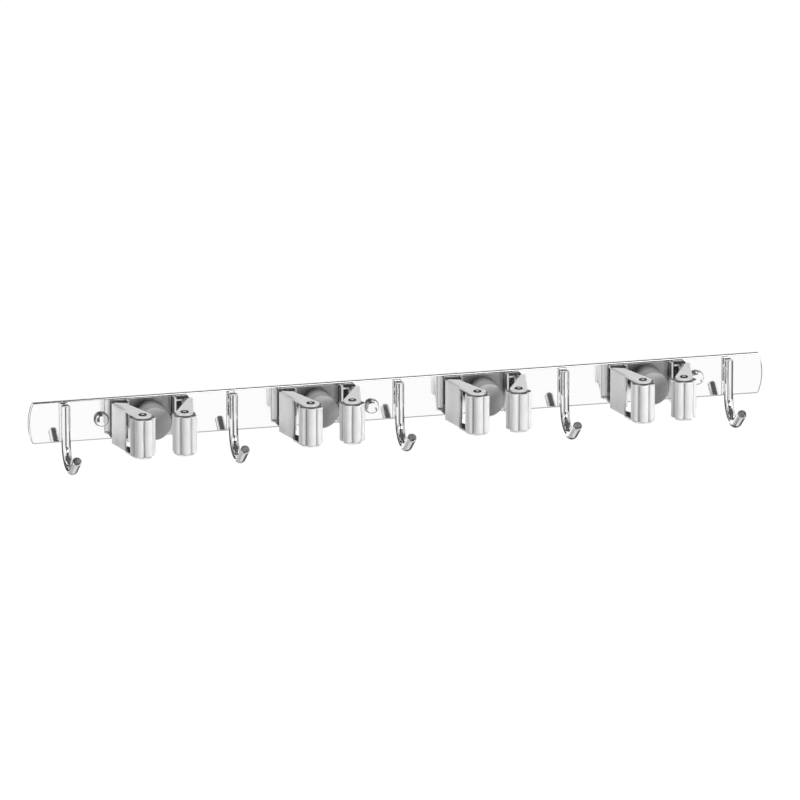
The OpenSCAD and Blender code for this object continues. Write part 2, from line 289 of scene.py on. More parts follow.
def span(nt, fac, lo, hi, p0=0.3, p1=0.7):
    r = nt.nodes.new("ShaderNodeMapRange")
    r.inputs["From Min"].default_value, r.inputs["From Max"].default_value = p0, p1
    r.inputs["To Min"].default_value, r.inputs["To Max"].default_value = lo, hi
    nt.links.new(fac, r.inputs["Value"])
    return r.outputs["Result"]


def bump(nt, b, fac, strength, distance):
    n = nt.nodes.new("ShaderNodeBump")
    n.inputs["Strength"].default_value = strength
    n.inputs["Distance"].default_value = distance
    nt.links.new(fac, n.inputs["Height"])
    nt.links.new(n.outputs["Normal"], b.inputs["Normal"])


def metal(name, colour, lo, hi, scale=60, stretch=(1, 1, 1), bump_s=0.0, bump_d=0.00002, tint=0.03, low=None):
    """Steel with a mottled finish; low=(tone, z0, z1) lets it grow to another tone from z1 down to z0, which paints
    shade that changes with height.
    """
    m, nt, b = shader(name)
    b.inputs["Metallic"].default_value = 1.0
    f = noise(nt, scale, stretch)
    dark = tuple(c * (1 - tint) for c in colour)
    if low:
        tc = nt.nodes.new("ShaderNodeTexCoord")
        sep = nt.nodes.new("ShaderNodeSeparateXYZ")
        nt.links.new(tc.outputs["Object"], sep.inputs["Vector"])
        tone = ramp(nt, span(nt, sep.outputs["Z"], 0.0, 1.0, low[1] * MM, low[2] * MM), low[0], colour, 0.0, 1.0)
    else:
        tone = ramp(nt, f, dark, colour)
    nt.links.new(tone, b.inputs["Base Color"])
    nt.links.new(span(nt, f, lo, hi), b.inputs["Roughness"])
    if bump_s:
        bump(nt, b, noise(nt, scale * 6, stretch, 2.0), bump_s, bump_d)
    return m


def rubber(name, lo, hi, rough, grain, bump_s, fade=None):
    """Matt rubber, mottled between two tones, or fading from one to the other over a range of Y as painted shade."""
    m, nt, b = shader(name)
    f = noise(nt, 90, (1, 1, 1), 4.0)
    if fade:
        tc = nt.nodes.new("ShaderNodeTexCoord")
        sep = nt.nodes.new("ShaderNodeSeparateXYZ")
        nt.links.new(tc.outputs["Object"], sep.inputs["Vector"])
        tone = ramp(nt, span(nt, sep.outputs["Y"], 0.0, 1.0, fade[0] * MM, fade[1] * MM), lo, hi, 0.0, 1.0)
    else:
        tone = ramp(nt, f, lo, hi)
    nt.links.new(tone, b.inputs["Base Color"])
    nt.links.new(span(nt, f, rough - 0.06, rough + 0.06), b.inputs["Roughness"])
    b.inputs["Specular IOR Level"].default_value = 0.35
    bump(nt, b, noise(nt, grain, (1, 1, 1), 2.0), bump_s, 0.00006)
    return m


M_STRIP = metal("polished_strip", (0.955, 0.955, 0.96), 0.035, 0.075, 14, (1, 1, 6), 0.02, 0.00001, 0.01)
M_MILL = metal("mill_back", (0.74, 0.745, 0.75), 0.30, 0.42, 40, (0.3, 1, 8), 0.15, 0.00002, 0.06)
M_BRACKET = metal("bright_bracket", (0.70, 0.70, 0.705), 0.07, 0.13, 40, (1, 1, 1), 0.03, 0.00001, 0.02)
# bracket floor: painted shade, darker than the bracket and darkest above the middle, where the drum's dark side shows
# in the real polished floor
M_FLOOR_PAINTED_SHADE = metal("bracket_floor_painted_shade", (0.45, 0.45, 0.455), 0.24, 0.32, 40, (1, 1, 1), 0.05, 0.00001, 0.06, ((0.95, 0.95, 0.955), -5.0, 3.0))
M_SHEAR = metal("sheared_edge", (0.16, 0.16, 0.165), 0.40, 0.55, 200, (1, 1, 1), 0.1, 0.00001, 0.2)
M_CHROME = metal("chrome_rod", (0.90, 0.905, 0.91), 0.035, 0.07, 50, (1, 1, 0.4), 0.0, 0.00001, 0.01)
M_CUT = metal("sawn_rod_end", (0.98, 0.98, 0.985), 0.14, 0.26, 700, (1, 1, 1), 0.3, 0.00002, 0.5)
# collar ring: its dark tone is painted shade, darker than the metal itself
M_COLLAR_PAINTED_SHADE = metal("collar_painted_shade", (0.32, 0.32, 0.325), 0.22, 0.34, 200, (1, 1, 1), 0.05, 0.00001, 0.15)
M_TRIM = metal("chrome_trim", (0.92, 0.92, 0.925), 0.06, 0.10, 80, (1, 1, 1), 0.0, 0.00001, 0.01)
M_SATIN = metal("satin_arm", (0.985, 0.985, 0.99), 0.50, 0.60, 120, (1, 1, 0.25), 0.22, 0.00003, 0.05)
# arm inside: near-black painted shade inside the channel
M_INSIDE_PAINTED_SHADE = metal("arm_inside_painted_shade", (0.06, 0.06, 0.063), 0.42, 0.55, 120, (1, 1, 0.25), 0.22, 0.00003, 0.15)
M_RIVET = metal("hollow_rivet", (0.84, 0.84, 0.85), 0.30, 0.40, 200, (1, 1, 1), 0.05, 0.00001, 0.06)
# rivet head outside the button: near-black painted shade
M_GROOVE_PAINTED_SHADE = metal("rivet_groove_painted_shade", (0.035, 0.035, 0.036), 0.45, 0.6, 300, (1, 1, 1), 0.0, 0.00001, 0.3)
M_PIN = metal("pivot_pin", (0.42, 0.42, 0.43), 0.20, 0.30, 200, (1, 1, 1), 0.0, 0.00001, 0.08)
M_SPRING = metal("spring_wire", (0.16, 0.16, 0.165), 0.28, 0.40, 300, (1, 1, 1), 0.0, 0.00001, 0.10)
M_ZINC = metal("zinc_screw", (0.66, 0.67, 0.68), 0.22, 0.34, 120, (1, 1, 1), 0.08, 0.00002, 0.06)
M_ROLLER = rubber("light_rubber", (0.80, 0.80, 0.80), (0.85, 0.85, 0.85), 0.50, 900, 0.12)
# groove and flank rubbers: painted shade in the grooves and on the lobes' flanks
M_ROLLER_GROOVE_PAINTED_SHADE = rubber("rubber_groove_painted_shade", (0.40, 0.40, 0.40), (0.46, 0.46, 0.46), 0.55, 900, 0.12)
M_ROLLER_FLANK_PAINTED_SHADE = rubber("rubber_flank_painted_shade", (0.62, 0.62, 0.62), (0.68, 0.68, 0.68), 0.55, 900, 0.12)
# roller ends: dark painted shade where the flanges overhang
M_ROLLER_END_PAINTED_SHADE = rubber("rubber_end_painted_shade", (0.10, 0.10, 0.10), (0.14, 0.14, 0.14), 0.60, 900, 0.2)
M_PAD = rubber("grey_rubber", (0.43, 0.43, 0.435), (0.48, 0.48, 0.485), 0.42, 700, 0.12)
# drum side: painted shade, darkening towards the strip
M_PAD_SIDE_PAINTED_SHADE = rubber("grey_rubber_side_painted_shade", (0.25, 0.25, 0.255), (0.05, 0.05, 0.05), 0.42, 700, 0.12, (-T - 12.5, -T - 5.0))


def finish(ob, body, nodes, slot, *mats):
    ob.data.materials.clear()
    for m in mats:
        ob.data.materials.append(m)
    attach(ob, body)
    if nodes:
        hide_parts(*nodes)


# -------------------------------------------------------------------- camera
def make_camera():
    az, el, dist = math.radians(-14.0), math.radians(16.4), 7.05
    back = Vector((math.sin(az) * math.cos(el), -math.cos(az) * math.cos(el), math.sin(el)))
    rot = (-back).to_track_quat("-Z", "Y")
    right, up = rot @ Vector((1, 0, 0)), rot @ Vector((0, 1, 0))
    px = 1.5445
    aim = Vector((0, -T, 0)) * MM + (1.6 / px * MM) * right - (1.9 / px * MM) * up
    cam = bpy.data.cameras.new("camera")
    cam.lens, cam.sensor_width = 490.0, 36.0
    cam.clip_start, cam.clip_end = 0.1, 60.0
    ob = link(bpy.data.objects.new("camera", cam))
    ob.location = aim + back * dist
    ob.rotation_mode = "QUATERNION"
    ob.rotation_quaternion = rot
    bpy.context.scene.camera = ob


make_camera()


# --------------------------------------------------------------- strip
def make_strip():
    # bowed ends and rounded corners; every inset of the outline shares its centres
    r, rc, fil = 36.0, 1.5, 1.2
    cx, zc = 245.0 - r, 14.0 - rc
    th = math.degrees(math.asin(zc / (r - rc)))
    xc = cx + (r - rc) * math.cos(math.radians(th))

    def ring(d):
        half = arc(xc, -zc, rc - d, -90, -th, 5)[:-1] + arc(cx, 0, r - d, -th, th, 32) + arc(xc, zc, rc - d, th, 90, 5)[1:]
        return half + [(-x, z) for x, z in reversed(half)]

    rows = [(0.12, 0.0), (0.0, 0.12)]
    rows += [(fil * (1 - math.cos(math.radians(q))), T - fil + fil * math.sin(math.radians(q))) for q in (0, 12, 24, 36, 48, 60, 72, 82, 90)]
    n = len(ring(0.0))
    verts = [(x, -h, z) for d, h in rows for x, z in ring(d)]
    faces = [tuple(range(n)), tuple(range((len(rows) - 1) * n, len(rows) * n))]
    for a in range(0, (len(rows) - 1) * n, n):
        faces += [(a + i, a + (i + 1) % n, a + n + (i + 1) % n, a + n + i) for i in range(n)]
    ob = thing("base_plate_sheet", verts, faces)
    tools = []
    holes = [(x, z, 2.6) for x, z in SCREWS]
    for k in range(1, 5):
        holes += [(clamp_x(k), 0.0, 3.05), (clamp_x(k) - 12.9, 0.0, 1.25), (clamp_x(k) + 12.9, 0.0, 1.25)]
    for x, z, rad in holes:
        v, f = lathe([(0, -1), (rad, -1), (rad, 3), (0, 3)], 40)
        tools.append(thing("hole", *moved((v, f), lambda px, py, pz, x=x, z=z: (px + x, pz - 2.0, py + z))))
    combine(ob, [], tools, True)
    even_normals(ob)
    finish(ob, "rack", ["base_plate"], "polished_strip", M_STRIP, M_MILL)
    for p in ob.data.polygons:
        if p.normal.y > 0.9:
            p.material_index = 1


make_strip()


# --------------------------------------------------------------------- hooks
def make_hooks():
    r, d0, top, bz, br, turn, tip, f = 3.0, 3.6, 11.6, -13.2, 14.0, 128.0, 13.2, 0.4
    path, rad = [], []

    def end_rim(p, t):
        # stations of a cut end with a softened rim, from the body to the cut
        for i in range(6):
            q = math.radians(18 * i)
            yield p - t * (f * (1 - math.sin(q))), r - f * (1 - math.cos(q))

    for p, q in reversed(list(end_rim(Vector((0, -(T + d0), top)), Vector((0, 0, 1))))):
        path.append(p)
        rad.append(q)
    for z in (9.5, 5.0, 0.0, -5.0, -10.0):
        path.append(Vector((0, -(T + d0), z)))
        rad.append(r)
    c = Vector((0, -(T + d0 + br), bz))
    for i in range(41):
        a = math.radians(turn * i / 40)
        path.append(c + br * Vector((0, math.cos(a), -math.sin(a))))
        rad.append(r)
    a = math.radians(turn)
    t = Vector((0, -math.sin(a), -math.cos(a)))
    start = path[-1]
    for q in (4.0, 8.0, 12.0):
        path.append(start + t * q)
        rad.append(r)
    for p, q in end_rim(start + t * tip, t):
        path.append(p)
        rad.append(q)
    bar = tube(path, (1, 0, 0), rad, 48)
    # weld nuggets that fill the gap between rod and strip
    nug = lathe([(0, -0.02), (2.9, -0.02), (2.65, 0.12), (2.3, 0.4), (2.1, 0.8), (2.0, 1.6), (2.0, 2.4), (0, 2.4)], 28)
    welds = [moved(nug, lambda x, y, z, h=h: (x, -(T + z), y + h)) for h in (-7.0, 6.0)]
    for i in range(1, 6):
        part = moved(join([bar] + welds), lambda x, y, z: (x + hook_x(i), y, z))
        ob = thing("hook_rod_%d" % i, *part)
        even_normals(ob, 50)
        finish(ob, "rack", ["hook_%d" % i], "chrome_rod", M_CHROME, M_CUT)
        for p in ob.data.polygons:
            if p.normal.dot(t) > 0.97 and p.center.y < -30 * MM and p.center.z > -20 * MM:
                p.material_index = 1


make_hooks()


# --------------------------------------------------------- screws and rivets
def make_fasteners():
    caps, collars, screws, rivets = [], [], [], []
    # cap: short drum with a rolled edge and a low dome
    face = CAP_H
    prof = [(3.5, 0.0), (CAP_R - 0.15, 0.0)] + arc(CAP_R - 0.2, 0.2, 0.2, -60, 0, 2)
    prof += [(CAP_R, 1.6)] + arc(CAP_R - 0.8, 2.22, 0.8, 0, 78, 6)
    prof += [(2.9, face - 0.25), (2.0, face - 0.12), (1.0, face - 0.03), (0, face)]
    prof = [(0, 2.2), (3.5, 2.2)] + prof
    cap = lathe(prof, 72)
    ring = [(2.6, 0.0)] + [(COLLAR_R - 0.1, 0.0)] + arc(COLLAR_R - 0.35, COLLAR_T - 0.35, 0.35, 0, 90, 4) + [(4.45, COLLAR_T), (2.6, COLLAR_T)]
    collar = lathe(ring, 72, closed=True)
    head = [(0, 2.0), (1.6, 2.0), (2.7, 1.7), (3.2, 1.0), (3.3, 0.35), (3.3, 0.0), (2.0, 0.0), (2.0, -COLLAR_T - T - 1.0)]
    L = 30.0
    head += [(1.5, -COLLAR_T - T - 1.8), (1.45, -COLLAR_T - T - L + 5.0), (0.25, -COLLAR_T - T - L + 0.1), (0, -COLLAR_T - T - L)]
    core = lathe(head, 40)
    # thread: a ridge wound round the core, running out on the point
    pitch, sides = 1.5, 26
    y0, y1 = 2.2, L - 1.2
    turns = (y1 - y0) / pitch
    n = int(turns * sides)
    tv, tf = [], []
    for i in range(n + 1):
        a = 2 * math.pi * i / sides
        h = y0 + (y1 - y0) * i / n
        k = min(1.0, i / (sides * 0.8), (L - 0.3 - h) / 4.6)
        base = 1.40 if h < L - 5.0 else max(0.2, 1.40 * (L - 0.2 - h) / 4.8)
        crest = base + (2.0 - 1.40) * max(k, 0.02)
        for rr, off in ((base, -0.42), (crest, -0.07), (crest, 0.07), (base, 0.42)):
            tv.append((rr * math.cos(a), rr * math.sin(a), -COLLAR_T - T - h + off))
    for i in range(n):
        for j in range(4):
            q = (j + 1) % 4
            tf.append((i * 4 + j, i * 4 + q, (i + 1) * 4 + q, (i + 1) * 4 + j))
    tf += [(3, 2, 1, 0), (n * 4, n * 4 + 1, n * 4 + 2, n * 4 + 3)]
    thread = (tv, tf)
    for x, z in SCREWS:
        caps.append(moved(cap, lambda a, b, c: (a + x, -(T + COLLAR_T + c), b + z)))
        collars.append(moved(collar, lambda a, b, c: (a + x, -(T + c), b + z)))
        screws += [moved(p, lambda a, b, c: (a + x, -(T + COLLAR_T + c), b + z)) for p in (core, thread)]
    rv = [(0, -T - SHEET), (1.0, -T - SHEET), (1.2, -T - SHEET + 0.2), (1.2, 0.0), (1.7, 0.0), (1.72, 0.2), (1.55, 0.45), (1.1, 0.62), (0.5, 0.69), (0, 0.7)]
    rivet = lathe(rv, 32)
    for k in range(1, 5):
        for s in (-1, 1):
            rivets.append(moved(rivet, lambda a, b, c: (clamp_x(k) + s * 12.9 + a, -(T + SHEET + c), b)))
    for name, parts, node, slot, mat in (
            ("cap_domes", caps, "screw_caps", "chrome_trim", M_TRIM),
            # the collar material is painted shade
            ("collar_rings", collars, "screw_collars", "chrome_trim", M_COLLAR_PAINTED_SHADE),
            ("threaded_screws", screws, "wall_screws", "zinc_screw", M_ZINC),
            ("bracket_rivet_set", rivets, "bracket_rivets", "chrome_trim", M_TRIM)):
        ob = thing(name, *join(parts))
        even_normals(ob, 45)
        finish(ob, "rack", [node], slot, mat)


make_fasteners()


# -------------------------------------------------------------------- clamps
AXIS = (ROLL - PIVOT).normalized()
SIDE = Vector((AXIS.y, -AXIS.x))
LEAN = math.asin((WEB_OFF - NOSE_R) / (ROLL - PIVOT).length)
WEB_N = math.cos(LEAN) * SIDE + math.sin(LEAN) * AXIS
WEB_D = Vector((-WEB_N.y, WEB_N.x))
FOOT = PIVOT + WEB_OFF * WEB_N


def web_point(s, w):
    """A plan point s along the arm's web and w inside its outer face."""
    return FOOT + s * WEB_D - w * WEB_N


def plan(s, k):
    """Maps a right-hand plan point (u, out) and height to clamp k, mirrored for s = -1."""
    return lambda u, d, z: (clamp_x(k) + s * u, -(T + d), z)


def flange_loop(bend, neck):
    """Flange outline from the bend line of the web to the nose and back along the straight rear edge."""
    ang = math.degrees(math.atan2(WEB_N.y, WEB_N.x))
    to = ROLL - neck
    base = math.atan2(to.y, to.x) + math.asin(NOSE_R / to.length)
    inner = neck + math.sqrt(to.length ** 2 - NOSE_R ** 2) * Vector((math.cos(base), math.sin(base)))
    end = math.degrees(math.atan2(inner.y - ROLL.y, inner.x - ROLL.x)) % 360
    back = web_point(WEB_GAP, bend)
    loop = [tuple(back), tuple(web_point(WEB_L + 0.5, bend)), tuple(web_point(WEB_L + 0.5, 0.0))]
    loop += arc(ROLL.x, ROLL.y, NOSE_R, ang, end, 34)
    loop += rounded([tuple(inner), tuple(neck), tuple(back)], [0, 1.1, 0], 6)[1:-1]
    return loop


def make_arm(s, k):
    bend_o, bend_i = 1.7, 0.5
    fn = plan(s, k)
    zi = ARM_Z - SHEET
    # web with its two bent edges, as one channel
    leg = bend_o + 0.5
    sec = [(leg, ARM_Z)] + [(bend_o + x, ARM_Z - bend_o + y) for x, y in arc(0, 0, bend_o, 90, 180, 8)]
    sec += [(bend_o + x, -ARM_Z + bend_o + y) for x, y in arc(0, 0, bend_o, 180, 270, 8)] + [(leg, -ARM_Z), (leg, -zi)]
    sec += [(bend_o + x, -ARM_Z + bend_o + y) for x, y in reversed(arc(0, 0, bend_i, 180, 270, 5))]
    sec += [(bend_o + x, ARM_Z - bend_o + y) for x, y in reversed(arc(0, 0, bend_i, 90, 180, 5))] + [(leg, zi)]

    def channel(w, z, h):
        p = web_point(h, w)
        return fn(p.x, p.y, z)

    ob = thing("arm", *prism(sec, WEB_GAP, WEB_L, channel))
    # the same stamping serves both sides, turned over, so its two flanges swap
    adds = []
    for neck, z0, z1 in ((WIDE if s < 0 else SLIM, zi, ARM_Z), (SLIM if s < 0 else WIDE, -ARM_Z, -zi)):
        adds.append(thing("flange", *prism(flange_loop(bend_o, neck), z0 + 0.002, z1 - 0.002, fn)))
    # rear strip of the web, with rounded corners at the bend relief
    tail = rounded([(0.0, -13.3), (WEB_GAP + 0.3, -13.3), (WEB_GAP + 0.3, 13.3), (0.0, 13.3)], [0.6, 0, 0, 0.6], 5)
    adds.append(thing("tail", *prism(tail, 0.01, SHEET - 0.01, lambda h, z, w: channel(w, z, h))))
    # tabs turned in at the rear edge and rolled round the pin
    tab = [(0.03, 0.04), (SHEET, 0.04), (SHEET, WEB_OFF - 2.0), (0.03, WEB_OFF - 2.0)]
    for z0, z1 in (KNUCKLE, (-KNUCKLE[1], -KNUCKLE[0])):
        adds.append(thing("tab", *prism(tab, z0, z1, lambda h, w, z: channel(w, z, h))))
        barrel = lathe([(0, z0), (EYE_R, z0), (EYE_R, z1), (0, z1)], 44)
        adds.append(thing("barrel", *moved(barrel, lambda x, y, z: fn(PIVOT.x + x, PIVOT.y + y, z))))
    # lip of the web, rolled round the outer rear side of the spring
    top = math.degrees(math.atan2(WEB_N.y, WEB_N.x)) + 12
    lip = arc(PIVOT.x, PIVOT.y, LIP_R + LIP_T, -70, top, 24) + arc(PIVOT.x, PIVOT.y, LIP_R, top, -70, 24)
    adds.append(thing("lip", *prism(lip, 0.02 - KNUCKLE[1], KNUCKLE[1] - 0.02, fn)))
    cuts = []
    for c, r in ((PIVOT, PIN_R + 0.05), (ROLL, AXLE_R)):
        v, f = lathe([(0, -20), (r, -20), (r, 20), (0, 20)], 36)
        cuts.append(thing("hole", *moved((v, f), lambda x, y, z, c=c: fn(c.x + x, c.y + y, z))))
    combine(ob, adds, cuts)
    edge_round(ob, 0.17, 2)
    even_normals(ob)
    return ob


def paint_channel_shade(ob, s, k):
    """Second material, a painted shade, for the faces that look into the channel."""
    for p in ob.data.polygons:
        c, nor = p.center / MM, p.normal
        at = Vector((s * (c.x - clamp_x(k)), -c.y - T))
        w = -(at - FOOT).dot(WEB_N)
        facing = -Vector((s * nor.x, -nor.y)).dot(WEB_N)
        level = abs(c.z) < 12.95 and nor.z * c.z < 0 and abs(nor.z) > 0.5 and abs(c.z) > 11.5
        if level or (facing > 0.5 and 1.0 < w < 2.4 and abs(c.z) < 13.0):
            p.material_index = 1


def make_roller(k, s, first):
    r_out, rib, n, hz = 8.2, 3.3, 216, 12.6
    at = r_out - rib

    def outline(off):
        pts = []
        for i in range(n):
            a = 2 * math.pi * i / n
            m = ((a + math.pi / 6) % (math.pi / 3)) - math.pi / 6
            rr = at * math.cos(m) + math.sqrt(max(0.0, rib * rib - (at * math.sin(m)) ** 2))
            # a narrow cut at the bottom of each groove
            edge = (math.pi / 6 - abs(m)) / (math.pi / 6)
            rr -= 0.20 * math.exp(-(edge / 0.10) ** 2)
            pts.append(((rr - off) * math.cos(a + first), (rr - off) * math.sin(a + first)))
        return pts

    f = 0.7
    rows = [(f * (1 - math.sin(math.radians(18 * q))), hz - f * (1 - math.cos(math.radians(18 * q)))) for q in range(6)]
    rings = [outline(o) for o, z in rows]
    zs = [z for o, z in rows]
    verts, faces = [], []
    order = []
    for ring, z in zip(rings, zs):
        order.append(len(verts))
        verts += [(x, y, z) for x, y in ring]
    for ring, z in zip(reversed(rings), reversed(zs)):
        order.append(len(verts))
        verts += [(x, y, -z) for x, y in ring]
    for a, b in zip(order, order[1:]):
        for i in range(n):
            j = (i + 1) % n
            faces.append((a + i, a + j, b + j, b + i))
    # end faces: flat rubber, a shallow round recess and the bore
    bore = AXLE_R + 0.05
    rings_in = [(5.2, hz), (4.6, hz), (4.4, hz - 0.5), (bore + 0.3, hz - 0.5), (bore, hz - 0.8), (bore, -hz + 0.8), (bore + 0.3, -hz + 0.5), (4.4, -hz + 0.5), (4.6, -hz), (5.2, -hz)]
    prev = order[0]
    for rr, z in rings_in:
        cur = len(verts)
        verts += [(rr * math.cos(2 * math.pi * i / n + first), rr * math.sin(2 * math.pi * i / n + first), z) for i in range(n)]
        for i in range(n):
            j = (i + 1) % n
            faces.append((prev + i, prev + j, cur + j, cur + i))
        prev = cur
    for i in range(n):
        j = (i + 1) % n
        faces.append((prev + i, prev + j, order[-1] + j, order[-1] + i))
    x0, y0 = clamp_x(k) + s * ROLL.x, -(T + ROLL.y)
    return moved((verts, faces), lambda x, y, z: (x + x0, y + y0, z))


def make_rivet_pin(k, s):
    """Rivet with a thin outer lip, a deep groove and a light button in its middle; the lip and groove are painted dark
    as shade.
    """
    h = ARM_Z
    top = [(0, h + 0.70), (0.6, h + 0.66), (1.05, h + 0.50), (1.3, h + 0.25), (1.38, h - 0.1), (1.40, h - 0.3), (1.7, h - 0.3)]
    top += [(1.8, h + 0.1), (1.95, h + 0.42), (2.15, h + 0.56), (2.4, h + 0.55), (2.58, h + 0.4), (2.65, h + 0.2), (2.62, h + 0.03), (2.55, h), (2.0, h)]
    prof = top + [(2.0, -h)] + [(r, -z) for r, z in reversed(top[:-1])]
    return moved(lathe(prof, 48), lambda x, y, z: (clamp_x(k) + s * ROLL.x + x, -(T + ROLL.y) + y, z))


def paint_rivet_shade(ob, k, s):
    cx, cy = (clamp_x(k) + s * ROLL.x) * MM, -(T + ROLL.y) * MM
    # painted shade on every head face outside the button
    for p in ob.data.polygons:
        r = math.hypot(p.center.x - cx, p.center.y - cy) / MM
        if r > 1.2 and abs(p.center.z) / MM > ARM_Z - 0.35:
            p.material_index = 1


def make_pad(k):
    h, r, e = 20.0, 11.0, 1.6
    prof = [(0, -T), (2.7, -T), (3.0, -T + 0.3), (3.0, SHEET), (r - 0.3, SHEET), (r, SHEET + 0.4), (r, 7.5), (r, h - e - 2.0)]
    prof += arc(r - e, h - e, e, 0, 84, 8) + [(r - e - 1.2, h - 0.02), (6.0, h - 0.01), (3.0, h), (0, h)]
    return moved(lathe(prof, 96), lambda x, y, z: (clamp_x(k) + x, -(T + z), y))


def make_bracket(k):
    fn = plan(1, k)
    bw = PIVOT.x + 2.6
    pts = [(-bw, 0), (bw, 0), (bw, SHEET), (16.0, SHEET), (16.0, WALL_OUT), (14.8, WALL_OUT), (14.8, SHEET),
           (-14.8, SHEET), (-14.8, WALL_OUT), (-16.0, WALL_OUT), (-16.0, SHEET), (-bw, SHEET)]
    rad = [0, 0, 0, 0.9, 0, 0, 0.5, 0.5, 0, 0, 0.9, 0]
    ob = thing("bracket", *prism(rounded(pts, rad, 5), -EAR_Z, EAR_Z, fn))
    adds = []
    flare = [(SHEET, EAR_Z - 0.3), (WALL_OUT, EAR_Z - 0.3), (WALL_OUT, WALL_Z), (SHEET, EAR_Z)]
    for s in (-1, 1):
        for up in (-1, 1):
            adds.append(thing("flare", *prism(flare, 14.8, 16.0, lambda d, z, u: fn(s * u, d, up * z))))
        ear = [(15.4, 0.1), (PIVOT.x + 2.6, 0.1), (PIVOT.x + 2.6, PIVOT.y)] + arc(PIVOT.x, PIVOT.y, 2.6, 0, 180, 16)[1:]
        ear += [(20.0, 10.3), (19.2, 9.8), (15.4, 9.8)]
        ear = [(s * x, y) for x, y in ear][::s]
        for z0, z1 in ((EAR_Z - SHEET, EAR_Z), (-EAR_Z, SHEET - EAR_Z)):
            adds.append(thing("ear", *prism(ear, z0, z1, fn)))
    cuts = []
    for x, r in ((-12.9, 1.25), (12.9, 1.25), (0.0, 3.05)):
        v, f = lathe([(0, -3), (r, -3), (r, 4), (0, 4)], 36)
        cuts.append(thing("hole", *moved((v, f), lambda a, b, c, x=x: (clamp_x(k) + x + a, -(T + c), b))))
    for s in (-1, 1):
        v, f = lathe([(0, -20), (PIN_R + 0.02, -20), (PIN_R + 0.02, 20), (0, 20)], 36)
        cuts.append(thing("hole", *moved((v, f), lambda a, b, c, s=s: fn(s * PIVOT.x + a, PIVOT.y + b, c))))
    combine(ob, adds, cuts)
    edge_round(ob, 0.25, 3)
    even_normals(ob)
    ob.name = "bracket_stamping_%d" % k
    finish(ob, "rack", ["clamp_%d_bracket" % k], "polished_bracket", M_BRACKET, M_FLOOR_PAINTED_SHADE, M_SHEAR)
    for p in ob.data.polygons:
        if abs(p.normal.x) > 0.6 and abs(p.center.x / MM - clamp_x(k)) > bw - 0.3 and -p.center.y / MM < T + SHEET + 0.1:
            p.material_index = 2
        # painted shade on the bracket's front face between the walls
        if p.normal.y < -0.9 and abs(p.center.x / MM - clamp_x(k)) < 14.5 and -p.center.y / MM < T + 2.0:
            p.material_index = 1


def spring_parts(k, s):
    """Coil with its short fixed leg, and the long leg that follows the arm."""
    cr, wr, turns, pitch, leg = 2.3, 0.4, 7, 2.1, 15.0
    end = -math.degrees(math.asin(WEB_N.y))
    sweep_a = 90 - end + 360 * turns
    steps = 26 * turns

    def point(i):
        a = math.radians(90 - sweep_a * i / steps)
        return Vector((cr * math.cos(a), cr * math.sin(a), pitch * sweep_a / 360 * (0.5 - i / steps)))

    z0 = point(0).z
    fixed = [Vector((-(PIVOT.x - 16.0 - 0.1), cr, z0)), Vector((-3.0, cr, z0)), Vector((-0.8, cr, z0))]
    fixed += [point(i) for i in range(steps + 1)]
    moving = [point(i) for i in range(steps - 12, steps + 1)]
    e = math.radians(end)
    d = Vector((math.sin(e), -math.cos(e), 0))
    moving += [moving[-1] + d * q for q in (0.8, 4.0, 9.0, leg)]
    out = []
    for path in (fixed, moving):
        part = tube(path, (0, 0, 1), [wr if path is fixed else wr * 0.995] * len(path), 10)
        out.append(moved(part, lambda x, y, z: (clamp_x(k) + s * (PIVOT.x + x), -(T + PIVOT.y) + y, z)))
    return out


FIRST = ((294, 265), (261, 286), (261, 286), (261, 286))


